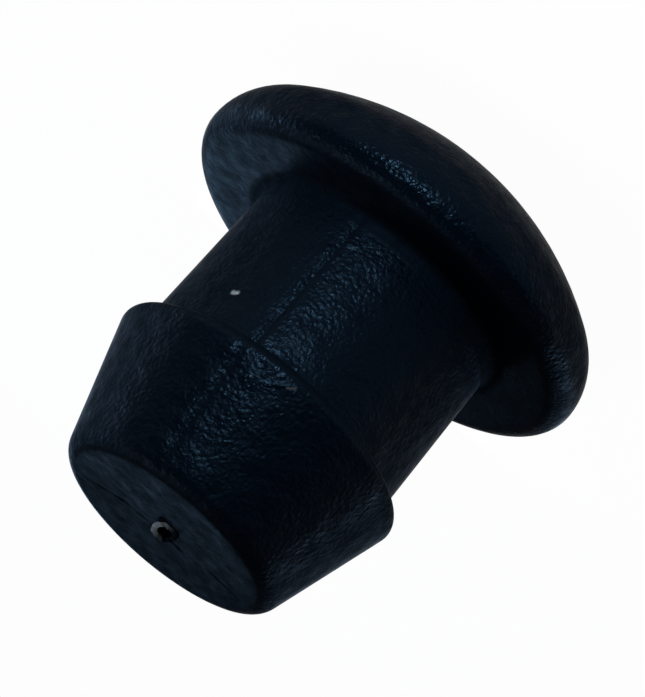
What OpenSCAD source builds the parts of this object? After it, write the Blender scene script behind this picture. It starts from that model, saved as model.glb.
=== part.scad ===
// Tube end stop plug: one solid moulding with a domed head, a flat seat that
// stops against the end of the tube, a shank and a barbed nose.
// It stands on the flat of its crown: that flat is at z = 0 and the nose points up.

/* [Head] */
// Largest diameter of the head
head_d = 19; // [16:0.1:24]
// Height of the head, from the crown's flat to the seat
head_h = 5.65; // [5:0.05:8]
// Diameter of the flat in the middle of the crown
crown_flat_d = 6; // [3:0.1:8]
// Round between the crown and the largest diameter
rim_r = 2.4; // [1.4:0.1:3]
// Round between the largest diameter and the seat
seat_edge_r = 1; // [0.4:0.05:1.4]

/* [Shank] */
// Shank diameter next to the head
shank_d = 11.8; // [10:0.1:12]
// Shank diameter at the foot of the barb
shank_foot_d = 12.2; // [11:0.1:12.6]
// Length of the shank, from the seat to the foot of the barb
shank_l = 7.3; // [4:0.1:12]
// Fillet where the shank leaves the seat
root_r = 0.3; // [0.1:0.05:0.6]

/* [Barb and nose] */
// Diameter of the barb, at the crossing of its two flanks
barb_d = 14; // [13.2:0.1:15]
// Length of the barb's holding flank, along the axis
barb_flank_l = 0.5; // [0.3:0.05:1.2]
// Round on the barb's crest
crest_r = 0.35; // [0.1:0.05:0.5]
// Length of the tapered nose, from the barb to the end face
nose_l = 6.05; // [4:0.05:9]
// Diameter of the end face, measured to the sharp corner
tip_d = 10.35; // [8:0.05:12]
// Round between the end face and the nose
tip_r = 0.85; // [0.2:0.05:1.4]

/* [Gate mark] */
// Outer diameter of the torn gate stub
gate_stub_d = 1.1; // [0.8:0.05:1.6]
// Bore of the torn gate stub
gate_bore_d = 0.6; // [0.3:0.05:0.7]
// Depth of the bore below the end face
gate_bore_h = 0.2; // [0.1:0.05:0.5]
// Height of the stub's high side above the end face
gate_stub_h = 0.5; // [0.3:0.05:0.8]
// Slope of the torn top of the stub
gate_slope = 22; // [0:1:24]
// Distance of the gate from the axis
gate_offset = 0.4; // [0:0.05:1]

/* [Hidden] */
$fn = 128;

// how far a round stands proud of the flank that it runs into
blend = 0.001;
head_r = head_d / 2;
// height of the head's largest diameter
rim_z = head_h - seat_edge_r;
rim_mid = [head_r - rim_r, rim_z];
edge_mid = [head_r - seat_edge_r, rim_z];
rim_in = rim_r - blend;
flat_r = crown_flat_d / 2;
// radius of the crown, a sphere that starts at the edge of the flat and runs into
// the rim's round without a crease, from the two lengths that fix it
rim_rise = pow(rim_z, 2) - pow(rim_in, 2);
rim_span = pow(rim_mid.x, 2) + rim_rise - pow(flat_r, 2);
crown_r = (rim_span * rim_in + rim_z * sqrt(pow(rim_span, 2) + 4 * pow(flat_r, 2) * rim_rise))
  / (2 * rim_rise);
crown_z = sqrt(pow(crown_r, 2) - pow(flat_r, 2));
// distance from the axis at which the crown runs into the rim
crown_reach = rim_mid.x * crown_r / (crown_r - rim_in);
foot_z = head_h + shank_l;
barb_z = foot_z + barb_flank_l;
tip_z = barb_z + nose_l;

// corners of the half section, from the seat to the end face
seat = [head_r - seat_edge_r, head_h];
root = [shank_d / 2, head_h];
foot = [shank_foot_d / 2, foot_z];
crest = [barb_d / 2, barb_z];
tip = [tip_d / 2, tip_z];
top = [0, tip_z];

function unit(v) = v / norm(v);
// half the angle that a corner's two sides make
function half_angle(p, a, b) = acos(unit(a - p) * unit(b - p)) / 2;
// where a disc of radius r in the corner p touches the side that leads to a
function touch(p, a, b, r) = p + unit(a - p) * r / tan(half_angle(p, a, b));
// the middle of that disc
function middle(p, a, b, r) = p + unit(unit(a - p) + unit(b - p)) * r / sin(half_angle(p, a, b));

module disc(centre, r) {
  translate(centre) circle(r);
}

// Half section of the head: the crown's flat, then crown, rim and seat edge as arcs in one run
module head_section() {
  intersection() {
    disc([0, crown_z], crown_r);
    square([crown_reach, rim_z]);
  }
  intersection() {
    disc(rim_mid, rim_r);
    translate([0, rim_z - rim_r]) square([head_r, rim_r]);
  }
  intersection() {
    disc(edge_mid, seat_edge_r);
    translate(edge_mid) square(seat_edge_r);
  }
  translate([0, rim_z]) square([seat.x, seat_edge_r]);
}

// Half section of the shank, the barb and the nose. The outer corners are cut
// off and get a disc each, and the inner corner at the seat is filled.
module stem_section() {
  root_seat = touch(root, seat, foot, root_r);
  crest_in = crest_r - blend;
  tip_in = tip_r - blend;
  polygon([
    [0, rim_z], [root_seat.x, rim_z], root_seat,
    touch(root, foot, seat, root_r), foot,
    touch(crest, foot, tip, crest_in), touch(crest, tip, foot, crest_in),
    touch(tip, crest, top, tip_in), touch(tip, top, crest, tip_in), top
  ]);
  disc(middle(crest, foot, tip, crest_in), crest_r);
  disc(middle(tip, crest, top, tip_in), tip_r);
}

// Half section of the whole plug, with the fillet at the root of the shank
module section() {
  difference() {
    union() {
      head_section();
      stem_section();
    }
    disc(middle(root, seat, foot, root_r), root_r + blend);
  }
}

// Torn stub of the moulding's gate: it stands on the end face and its top slopes
module gate_stub() {
  difference() {
    translate([0, 0, tip_z - gate_bore_h])
      cylinder(d = gate_stub_d, h = gate_bore_h + gate_stub_h);
    translate([0, gate_stub_d / 2, tip_z + gate_stub_h])
      rotate([gate_slope, 0, 0])
        translate([-gate_stub_d, -2 * gate_stub_d, 0])
          cube([2 * gate_stub_d, 3 * gate_stub_d, 2 * gate_stub_h]);
  }
}

// The whole moulding, with the hollow gate stub on its end face
module plug() {
  color("#1b2228")
    difference() {
      union() {
        rotate_extrude() section();
        translate([0, -gate_offset, 0]) gate_stub();
      }
      translate([0, -gate_offset, tip_z - gate_bore_h])
        cylinder(d = gate_bore_d, h = gate_bore_h + 2 * gate_stub_h);
    }
}

plug();
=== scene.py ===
import math

import bpy
from mathutils import Matrix, Vector


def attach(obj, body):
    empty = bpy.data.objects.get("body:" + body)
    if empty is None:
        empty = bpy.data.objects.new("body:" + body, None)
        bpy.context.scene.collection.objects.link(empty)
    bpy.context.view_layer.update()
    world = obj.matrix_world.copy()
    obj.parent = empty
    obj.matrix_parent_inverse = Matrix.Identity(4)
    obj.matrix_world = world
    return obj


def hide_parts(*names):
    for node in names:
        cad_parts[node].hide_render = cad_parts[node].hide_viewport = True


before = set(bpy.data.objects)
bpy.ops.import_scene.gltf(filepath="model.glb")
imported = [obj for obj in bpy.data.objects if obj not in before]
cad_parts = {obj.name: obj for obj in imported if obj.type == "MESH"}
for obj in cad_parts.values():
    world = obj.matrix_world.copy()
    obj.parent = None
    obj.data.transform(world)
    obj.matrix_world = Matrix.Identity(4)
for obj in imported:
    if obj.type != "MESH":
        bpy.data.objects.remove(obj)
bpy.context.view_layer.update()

# Sizes of the plug in millimetres, as in the part's source
HEAD_R, HEAD_H, CROWN_FLAT_R, RIM_R, SEAT_EDGE_R = 9.5, 5.65, 3.0, 2.4, 1.0
SHANK_R, SHANK_FOOT_R, SHANK_L, ROOT_R = 5.9, 6.1, 7.3, 0.3
BARB_R, BARB_FLANK_L, CREST_R = 7.0, 0.5, 0.35
NOSE_L, TIP_R, TIP_EDGE_R = 6.05, 5.175, 0.85
GATE_STUB_R, GATE_BORE_R, GATE_BORE_H, GATE_STUB_H = 0.55, 0.3, 0.2, 0.5
GATE_SLOPE, GATE_OFFSET = 22.0, 0.4
FOOT_Z = HEAD_H + SHANK_L
BARB_Z = FOOT_Z + BARB_FLANK_L
TIP_Z = BARB_Z + NOSE_L

# How finely the body is divided: points in a ring, and steps along each stretch of the section
SIDES = 480
ROUND_STEPS, CREST_STEPS, FILLET_STEPS = 10, 8, 6
NOSE_STEPS, FLANK_STEPS, SHANK_STEPS, SEAT_STEPS = 22, 3, 30, 6
BORE_STEPS, STUB_STEPS, FACE_STEPS = 6, 4, 22
# above 1, the rings of the end face lie closer together round the gate
FACE_CROWDING = 1.4

# Marks of the mould, in millimetres. Its joint runs down the shank and the nose at
# this angle from +X, as a crease with a bead of flash beside it
MOULD_LINE = math.radians(-69.5)
CREASE_DEPTH, CREASE_WIDTH = 0.075, 0.12
BEAD_H, BEAD_OFF, BEAD_WIDTH = 0.045, 0.4, 0.24
# A finer crease, given as x and y, crosses the end face past the gate, also with a bead
FACE_CREASE = [(-4.6, 0.6), (-3.5, 0.35), (-2.4, 0.26), (-1.8, 0.46), (-1.1, 0.56), (0.45, 0.35),
               (0.85, 0.43), (1.75, 0.38), (2.8, 0.76), (3.6, 1.29), (4.6, 1.7)]
FACE_CREASE_DEPTH, FACE_CREASE_WIDTH, FACE_CREASE_REACH = 0.05, 0.11, 4.3
FACE_BEAD_SHARE, FACE_BEAD_OFF, FACE_BEAD_WIDTH = 0.6, 0.22, 0.13
# How dull some places are: the rim, rubbed glossier round this height, the corner at
# the root of the shank, and the end face, which is duller beyond its crease
RIM_DULL, RUBBED_Z, RUBBED_WIDTH = -0.3, 5.0, 0.45
CORNER_DULL, CORNER_REACH_OUT, CORNER_REACH_UP = 1.0, 0.5, 0.6
FACE_DULL, FACE_DULL_WIDTH = 0.08, 0.25
# Roughness that a dullness of 1 adds
DULL_ROUGHNESS = 0.4
# Short marks on the surface, from one end to the other: a nick in the shank, and a
# scratch on the nose beside the barb with its burr
NICK = (4.22, -4.34, 11.63), (4.06, -4.48, 11.59)
SCRATCH = (0.75, -6.67, 14.4), (-0.39, -6.93, 13.65)
BURR = (0.1, -6.74, 14.07), (-0.2, -6.8, 13.88)
# Height of the grain
GRAIN_H = 0.04

# Tint of the lamps behind the plug, which give its edges their blue
EDGE_BLUE = "#a0d0ff"


def metres(*values):
    return tuple(v / 1000.0 for v in values)


# The half section

def round_corner(before, corner, after, radius, steps):
    """Points of the arc that rounds a corner of the half section, from one side to the other."""
    before, corner, after = Vector(before), Vector(corner), Vector(after)
    one, two = (before - corner).normalized(), (after - corner).normalized()
    half = one.angle(two) / 2
    middle = corner + (one + two).normalized() * (radius / math.sin(half))
    start = corner + one * (radius / math.tan(half)) - middle
    end = corner + two * (radius / math.tan(half)) - middle
    sweep = math.copysign(math.pi - 2 * half, start.x * end.y - start.y * end.x)
    turn = [Matrix.Rotation(sweep * k / steps, 2) for k in range(steps + 1)]
    return [tuple(middle + t @ start) for t in turn]


def arc(middle, radius, first, last, steps):
    angles = [first + (last - first) * k / steps for k in range(steps + 1)]
    return [(middle[0] + radius * math.cos(a), middle[1] + radius * math.sin(a)) for a in angles]


def run(start, end, steps):
    """Points between two points of the section, without the two."""
    return [tuple(Vector(start).lerp(Vector(end), k / steps)) for k in range(1, steps)]


def outer_section():
    """The half section from the edge of the end face down to the crown's flat, as (radius, height)."""
    tip, crest = (TIP_R, TIP_Z), (BARB_R, BARB_Z)
    foot, root = (SHANK_FOOT_R, FOOT_Z), (SHANK_R, HEAD_H)
    seat_x, rim_x, rim_z = HEAD_R - SEAT_EDGE_R, HEAD_R - RIM_R, HEAD_H - SEAT_EDGE_R
    seat = (seat_x, HEAD_H)
    # the crown is the sphere that runs from its flat into the rim without a crease
    rise = rim_z ** 2 - RIM_R ** 2
    span = rim_x ** 2 + rise - CROWN_FLAT_R ** 2
    reach = math.sqrt(span ** 2 + 4 * CROWN_FLAT_R ** 2 * rise)
    crown_r = (span * RIM_R + rim_z * reach) / (2 * rise)
    crown_z = math.sqrt(crown_r ** 2 - CROWN_FLAT_R ** 2)
    joint = math.atan2(rim_z - crown_z, rim_x)
    flat_edge = math.atan2(-crown_z, CROWN_FLAT_R)
    tip_edge = round_corner((0, TIP_Z), tip, crest, TIP_EDGE_R, ROUND_STEPS)
    barb = round_corner(tip, crest, foot, CREST_R, CREST_STEPS)
    fillet = round_corner(foot, root, seat, ROOT_R, FILLET_STEPS)
    seat_edge = arc((seat_x, rim_z), SEAT_EDGE_R, math.pi / 2, 0, ROUND_STEPS)
    rim = arc((rim_x, rim_z), RIM_R, 0, joint, ROUND_STEPS)
    crown = arc((0, crown_z), crown_r, joint, flat_edge, ROUND_STEPS)
    return (tip_edge + run(tip_edge[-1], barb[0], NOSE_STEPS)
            + barb + run(barb[-1], foot, FLANK_STEPS) + [foot]
            + run(foot, fillet[0], SHANK_STEPS)
            + fillet + run(fillet[-1], seat, SEAT_STEPS)
            + seat_edge + rim[1:] + crown[1:]
            + [(CROWN_FLAT_R * 0.5, 0.0), (0.2, 0.0)])


def gate_section():
    """The gate's stub from the bottom of its bore out to the end face, as (radius, height).
    Its top is still level here."""
    floor_z, top_z = TIP_Z - GATE_BORE_H, TIP_Z + GATE_STUB_H
    lip, spread = 0.05, 0.04
    corner, inside = (GATE_BORE_R, floor_z + lip), (GATE_BORE_R, top_z - lip)
    outside, foot = (GATE_STUB_R, top_z - lip), (GATE_STUB_R, TIP_Z + spread)
    return ([(0.1, floor_z), (GATE_BORE_R - lip, floor_z), corner]
            + run(corner, inside, BORE_STEPS) + [inside, (GATE_BORE_R + lip, top_z)]
            + [(GATE_STUB_R - lip, top_z), outside] + run(outside, foot, STUB_STEPS)
            + [foot, (GATE_STUB_R + spread, TIP_Z)])


# The plug's body

def extrude_ring(step, scale, middle):
    bpy.ops.mesh.extrude_region_move(TRANSFORM_OT_translate={"value": step})
    bpy.ops.transform.resize(value=(scale, scale, 1), center_override=middle)


def model_plug():
    """One ring, extruded and scaled from the gate over the end face, nose, shank and head to the crown."""
    gate, outer = gate_section(), outer_section()
    stations = [(r, -GATE_OFFSET, z) for r, z in gate]
    # the rings of the end face move from the gate's middle to the plug's
    face_in, face_out = gate[-1][0], outer[0][0]
    for k in range(1, FACE_STEPS):
        t = (k / FACE_STEPS) ** FACE_CROWDING
        stations.append((face_in + (face_out - face_in) * t, -GATE_OFFSET * (1 - t), TIP_Z))
    stations += [(r, 0.0, z) for r, z in outer]
    stations = [metres(*s) for s in stations]
    bpy.ops.object.select_all(action="DESELECT")
    radius, y, z = stations[0]
    bpy.ops.mesh.primitive_circle_add(vertices=SIDES, radius=radius, fill_type="NGON", location=(0, y, z))
    piece = bpy.context.object
    piece.name = piece.data.name = "plug_body"
    bpy.ops.object.transform_apply(location=True, rotation=True, scale=True)
    bpy.ops.object.mode_set(mode="EDIT")
    bpy.ops.mesh.select_mode(type="EDGE")
    bpy.ops.mesh.select_all(action="SELECT")
    bpy.ops.mesh.region_to_loop()
    for (r0, y0, z0), (r1, y1, z1) in zip(stations, stations[1:]):
        extrude_ring((0, y1 - y0, z1 - z0), r1 / r0, (0, y1, z1))
    bpy.ops.mesh.edge_face_add()
    bpy.ops.mesh.select_all(action="SELECT")
    bpy.ops.mesh.remove_doubles(threshold=1e-8)
    bpy.ops.mesh.normals_make_consistent(inside=False)
    bpy.ops.object.mode_set(mode="OBJECT")
    return piece


def bell(distance, width):
    return math.exp(-(distance / width) ** 2)


def follow(course, x):
    """Height of a course of straight steps at x."""
    for (x0, y0), (x1, y1) in zip(course, course[1:]):
        if x0 <= x <= x1:
            return y0 + (y1 - y0) * (x - x0) / (x1 - x0)
    return course[0][1] if x < course[0][0] else course[-1][1]


def side_push(x, y, z):
    """How far the mould's joint moves a point of the side outwards: a fine crease, and a lumpy
    bead of flash beside it."""
    along = math.remainder(math.atan2(y, x) - MOULD_LINE, 2 * math.pi) * math.hypot(x, y)
    lumps = max(0.0, 0.3 + 0.6 * math.sin(4.1 * z + 0.6) + 0.4 * math.sin(7.3 * z))
    bead = BEAD_H * lumps * bell(along - BEAD_OFF, BEAD_WIDTH)
    return bead - CREASE_DEPTH * bell(along, CREASE_WIDTH)


def face_push(x, off):
    """How far the crease moves a point of the end face up, at a distance off the crease."""
    lumps = 0.5 + 0.3 * math.sin(6.3 * x + 0.5) + 0.2 * math.sin(2.3 * x + 2)
    fade = max(0.0, 1 - (x / FACE_CREASE_REACH) ** 2)
    bead = FACE_BEAD_SHARE * bell(off - FACE_BEAD_OFF, FACE_BEAD_WIDTH)
    return FACE_CREASE_DEPTH * fade * lumps * (bead - bell(off, FACE_CREASE_WIDTH))


def press_marks(piece):
    """Moves the points of the body where the mould left a line and where the gate tore off.
    Two attributes say how torn a point is, for its colour, and how dull, for its gloss. The torn colour
    also grows towards the +X side as a painted highlight."""
    piece.data.attributes.new("torn", "FLOAT", "POINT")
    piece.data.attributes.new("dull", "FLOAT", "POINT")
    torn, dull = piece.data.attributes["torn"].data, piece.data.attributes["dull"].data
    slope = math.tan(math.radians(GATE_SLOPE))
    hair = 0.001
    for vertex in piece.data.vertices:
        x, y, z = (c * 1000 for c in vertex.co)
        r, out = math.hypot(x, y), math.hypot(x, y + GATE_OFFSET)
        if r > HEAD_R - SEAT_EDGE_R:
            dull[vertex.index].value = RIM_DULL * bell(z - RUBBED_Z, RUBBED_WIDTH)
        elif r < SHANK_R + CORNER_REACH_OUT and HEAD_H - 0.01 < z < HEAD_H + CORNER_REACH_UP:
            dull[vertex.index].value = CORNER_DULL
        if HEAD_H + 0.2 < z < TIP_Z - 0.3:
            push = side_push(x, y, z)
            x, y = x * (1 + push / r), y * (1 + push / r)
        elif abs(z - TIP_Z) < hair and out > GATE_STUB_R + 0.08:
            off = y - follow(FACE_CREASE, x)
            dull[vertex.index].value = FACE_DULL * (1 + math.tanh(off / FACE_DULL_WIDTH))
            z += face_push(x, off)
        elif out < GATE_STUB_R + hair and z > TIP_Z + hair:
            # the stub tore off at a slope, with a ragged edge
            around = math.atan2(y + GATE_OFFSET, x)
            ragged = 0.02 * (2 + math.sin(5 * around + 1) + math.sin(9 * around))
            top = GATE_STUB_H - (GATE_STUB_R - (y + GATE_OFFSET)) * slope + 0.12 * x
            # the torn top is pale, and palest on the +X side where the lamps fall: that lift is a painted
            # highlight
            if z > TIP_Z + GATE_STUB_H - 0.06:
                torn[vertex.index].value = (0.5 + 0.5 * math.cos(around + 0.2)) ** 2.5
            z = TIP_Z + (z - TIP_Z) * max(top - ragged, 0.03) / GATE_STUB_H
        vertex.co = metres(x, y, z)


# Materials

def linear(hex_colour):
    """An sRGB hex colour as linear light."""
    values = [int(hex_colour[i:i + 2], 16) / 255 for i in (1, 3, 5)]
    return tuple(v / 12.92 if v <= 0.04045 else ((v + 0.055) / 1.055) ** 2.4 for v in values) + (1.0,)


def add(tree, kind, settings=None, **inputs):
    """Adds a node, sets it up, and sets or links its inputs, by name or as _ and a number."""
    node = tree.nodes.new(kind)
    for key, value in (settings or {}).items():
        setattr(node, key, value)
    for key, value in inputs.items():
        socket = node.inputs[int(key[1:]) if key[1:].isdigit() else key.replace("_", " ")]
        if isinstance(value, bpy.types.NodeSocket):
            tree.links.new(value, socket)
        else:
            socket.default_value = value
    return node


def new_material(name):
    material = bpy.data.materials.new(name)
    material.use_nodes = True
    material.node_tree.nodes.clear()
    return material, material.node_tree


def per_mm(size):
    """Texture scale for a pattern of that size in millimetres, on coordinates in metres."""
    return 1000.0 / size


def beside(tree, place, start, end, solid, fade, most=1.0):
    """The most within a solid distance in millimetres of a short line on the surface,
    falling to 0 at the fade."""
    start, way = Vector(metres(*start)), Vector(metres(*end)) - Vector(metres(*start))
    reach = add(tree, "ShaderNodeVectorMath", {"operation": "SUBTRACT"}, _0=place, _1=start)
    share = add(tree, "ShaderNodeVectorMath", {"operation": "DOT_PRODUCT"}, _0=reach.outputs[0],
                _1=way / way.length_squared)
    share = add(tree, "ShaderNodeClamp", Value=share.outputs["Value"])
    foot = add(tree, "ShaderNodeVectorMath", {"operation": "SCALE"}, _0=way, Scale=share.outputs[0])
    off = add(tree, "ShaderNodeVectorMath", {"operation": "DISTANCE"}, _0=reach.outputs[0],
              _1=foot.outputs[0])
    return add(tree, "ShaderNodeMapRange", Value=off.outputs["Value"], From_Min=solid / 1000,
               From_Max=fade / 1000, To_Min=most, To_Max=0.0).outputs["Result"]


def black_polyethylene():
    """Low-density polyethylene, black, moulded in a spark-eroded cavity.
    It gives the eye a matt blue-black with a fine curly grain that only shows where light
    glances off it."""
    material, tree = new_material("black_polyethylene_spark_eroded")
    surface = add(tree, "ShaderNodeTexCoord")
    place = surface.outputs["Object"]
    # the grain is of round pebbles about 0.2 mm across, on a finer unevenness
    sway = add(tree, "ShaderNodeTexNoise", Vector=place, Scale=per_mm(0.4), Detail=1.0)
    sway = add(tree, "ShaderNodeVectorMath", {"operation": "MULTIPLY_ADD"}, _0=sway.outputs["Color"],
               _1=metres(0.2, 0.2, 0.2), _2=place)
    pebbles = add(tree, "ShaderNodeTexVoronoi", {"feature": "SMOOTH_F1"}, Vector=sway.outputs[0],
                  Scale=per_mm(0.24), Smoothness=0.5)
    fine = add(tree, "ShaderNodeTexNoise", Vector=place, Scale=per_mm(0.16), Detail=1.0)
    height = add(tree, "ShaderNodeMath", {"operation": "MULTIPLY_ADD"}, _0=pebbles.outputs["Distance"],
                 _1=-0.7, _2=fine.outputs["Fac"])
    # and lies on waves of about a millimetre
    waves = add(tree, "ShaderNodeTexNoise", Vector=place, Scale=per_mm(0.9), Detail=0.0)
    height = add(tree, "ShaderNodeMath", {"operation": "MULTIPLY_ADD"}, _0=waves.outputs["Fac"],
                 _1=2.0, _2=height.outputs[0])
    # the scratch has thrown up a burr
    scratch = beside(tree, place, *SCRATCH, 0.03, 0.1)
    height = add(tree, "ShaderNodeMath", {"operation": "MULTIPLY_ADD"}, _0=scratch, _1=0.4,
                 _2=height.outputs[0])
    # the faces square to the axis were cut smoother than the sides
    facing = add(tree, "ShaderNodeSeparateXYZ", Vector=surface.outputs["Normal"])
    smooth = add(tree, "ShaderNodeMapRange", Value=facing.outputs["Z"], From_Min=0.8, From_Max=0.98,
                 To_Min=1.0, To_Max=0.25)
    bump = add(tree, "ShaderNodeBump", Strength=smooth.outputs["Result"], Distance=GRAIN_H / 1000,
               Height=height.outputs[0])
    # some patches, about half a millimetre across, are a little paler and glossier
    patches = add(tree, "ShaderNodeTexNoise", Vector=place, Scale=per_mm(0.6), Detail=3.0, Roughness=0.6)
    tone = add(tree, "ShaderNodeMix", {"data_type": "RGBA"}, _0=patches.outputs["Fac"],
               _6=linear("#010307"), _7=linear("#02050b"))
    # the torn edge of the gate, the nick and the scratch's burr show pale; on the torn edge the paleness
    # grows towards the lit +X side, which is a painted highlight
    torn = add(tree, "ShaderNodeAttribute", {"attribute_name": "torn"})
    nick = beside(tree, sway.outputs[0], *NICK, 0.02, 0.14, 0.6)
    burr = beside(tree, sway.outputs[0], *BURR, 0.01, 0.08, 0.1)
    pale_and_highlight = add(tree, "ShaderNodeMath", {"operation": "MAXIMUM"}, _0=nick, _1=burr)
    pale_and_highlight = add(tree, "ShaderNodeMath", {"operation": "MAXIMUM"}, _0=torn.outputs["Fac"],
               _1=pale_and_highlight.outputs[0])
    tone = add(tree, "ShaderNodeMix", {"data_type": "RGBA"}, _0=pale_and_highlight.outputs[0],
               _6=tone.outputs[2], _7=linear("#78838c"))
    # seen at a slant the grain hides its own gloss, and at the very outline some comes back
    edge = add(tree, "ShaderNodeLayerWeight", Blend=0.5)
    outline = add(tree, "ShaderNodeMapRange", Value=edge.outputs["Facing"], From_Min=0.75, From_Max=0.95,
                  To_Min=0.5, To_Max=0.22)
    edge = add(tree, "ShaderNodeMapRange", Value=edge.outputs["Facing"], From_Min=0.1, From_Max=0.55,
               To_Min=0.0, To_Max=outline.outputs["Result"])
    gloss = add(tree, "ShaderNodeMapRange", Value=patches.outputs["Fac"], From_Min=0.3, From_Max=0.7,
                To_Min=0.46, To_Max=0.24)
    dull = add(tree, "ShaderNodeAttribute", {"attribute_name": "dull"})
    gloss = add(tree, "ShaderNodeMath", {"operation": "MULTIPLY_ADD"}, _0=dull.outputs["Fac"],
                _1=DULL_ROUGHNESS, _2=gloss.outputs["Result"])
    gloss = add(tree, "ShaderNodeMath", {"operation": "MULTIPLY_ADD"}, _0=edge.outputs["Result"],
                _1=smooth.outputs["Result"], _2=gloss.outputs[0])
    shader = add(tree, "ShaderNodeBsdfPrincipled", Base_Color=tone.outputs[2], Roughness=gloss.outputs[0],
                 IOR=1.51, Specular_IOR_Level=0.041, Specular_Tint=linear("#8ecbff"),
                 Normal=bump.outputs["Normal"])
    add(tree, "ShaderNodeOutputMaterial", Surface=shader.outputs["BSDF"])
    return material


def white_floor():
    """White card. It shows as plain white to the eye and in gloss, and keeps a faint shadow of the plug."""
    material, tree = new_material("white_card")
    path = add(tree, "ShaderNodeLightPath")
    seen = add(tree, "ShaderNodeMath", {"operation": "MAXIMUM"}, _0=path.outputs["Is Camera Ray"],
               _1=path.outputs["Is Glossy Ray"])
    seen = add(tree, "ShaderNodeMath", {"operation": "MAXIMUM"}, _0=seen.outputs[0],
               _1=path.outputs["Is Transmission Ray"])
    share = add(tree, "ShaderNodeMath", {"operation": "MULTIPLY"}, _0=seen.outputs[0], _1=0.97)
    card = add(tree, "ShaderNodeBsdfDiffuse", Color=linear("#e6e6e6"))
    white = add(tree, "ShaderNodeEmission", Strength=1.0)
    both = add(tree, "ShaderNodeMixShader", _0=share.outputs[0], _1=card.outputs[0], _2=white.outputs[0])
    add(tree, "ShaderNodeOutputMaterial", Surface=both.outputs[0])
    return material


# Floor, light and camera

def lay_floor():
    bpy.ops.object.select_all(action="DESELECT")
    bpy.ops.mesh.primitive_plane_add(size=3.0)
    floor = bpy.context.object
    floor.name = floor.data.name = "floor"
    floor.data.materials.append(white_floor())


def hang_lamp(name, azimuth, elevation, distance, width, height, level, tint="#ffffff"):
    """A soft lamp, aimed at the middle of the plug. At level 1 a white card that faces it renders white.
    Azimuth is measured from the camera's side towards +X, and lengths are in millimetres."""
    a, e = math.radians(azimuth), math.radians(elevation)
    out = Vector((math.sin(a) * math.cos(e), -math.cos(a) * math.cos(e), math.sin(e)))
    lamp = bpy.data.lights.new(name, "AREA")
    lamp.shape = "RECTANGLE"
    lamp.size, lamp.size_y = metres(width, height)
    lamp.energy = level * math.pi ** 2 * (distance / 1000) ** 2
    lamp.color = linear(tint)[:3]
    holder = bpy.data.objects.new(name, lamp)
    plug_middle = Vector(metres(0, 0, 10))
    holder.location = plug_middle + out * (distance / 1000)
    holder.rotation_euler = out.to_track_quat("Z", "Y").to_euler()
    holder.visible_camera = False
    bpy.context.collection.objects.link(holder)


def set_camera():
    """A long lens about 20 degrees above the floor, rolled so that the nose points to the lower left."""
    camera = bpy.data.cameras.new("camera")
    camera.lens = 322.8
    camera.sensor_width = 36.0
    camera.clip_start = 0.01
    camera.clip_end = 10.0
    right, up = Vector((-0.7606, -0.2245, -0.6092)), Vector((0.6492, -0.2630, -0.7137))
    back = Vector((0.0, -0.9383, 0.3458))
    holder = bpy.data.objects.new("camera", camera)
    turn = Matrix((right, up, back)).transposed()
    holder.matrix_world = Matrix.Translation(metres(-0.05, -237.9, 96.9)) @ turn.to_4x4()
    bpy.context.collection.objects.link(holder)
    bpy.context.scene.camera = holder


def light_scene():
    world = bpy.data.worlds.new("studio")
    world.use_nodes = True
    backdrop = world.node_tree.nodes["Background"]
    backdrop.inputs["Color"].default_value = linear("#ffffff")
    backdrop.inputs["Strength"].default_value = 0.02
    bpy.context.scene.world = world
    hang_lamp("front_lamp", 19, -3, 60, 12, 12, 1.25)
    hang_lamp("back_lamp", 178, 28, 64, 12, 8, 0.023, EDGE_BLUE)
    hang_lamp("low_back_lamp", 165, 5, 60, 30, 9, 0.11, EDGE_BLUE)
    hang_lamp("left_lamp", 135, 7, 300, 60, 60, 0.66, EDGE_BLUE)
    hang_lamp("right_lamp", 225, -1, 300, 60, 8, 0.36, EDGE_BLUE)
    hang_lamp("top_lamp", 110, 60, 300, 120, 120, 0.32)
    hang_lamp("overhead_lamp", 0, 88, 300, 120, 120, 0.1)
    # these light the sides that the camera does not see
    hang_lamp("far_side_lamp", 180, -20, 24, 12, 2.5, 0.6)
    for azimuth in (0, 90, 270):
        hang_lamp(f"ring_lamp_{azimuth}", azimuth, 20, 150, 24, 24, 0.03)
    bpy.context.scene.view_settings.view_transform = "Standard"


body = model_plug()
press_marks(body)
body.data.materials.append(black_polyethylene())
bpy.ops.object.select_all(action="DESELECT")
body.select_set(True)
bpy.context.view_layer.objects.active = body
bpy.ops.object.shade_smooth_by_angle(angle=math.radians(40))
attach(body, "root")
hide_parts("plug")
lay_floor()
set_camera()
light_scene()
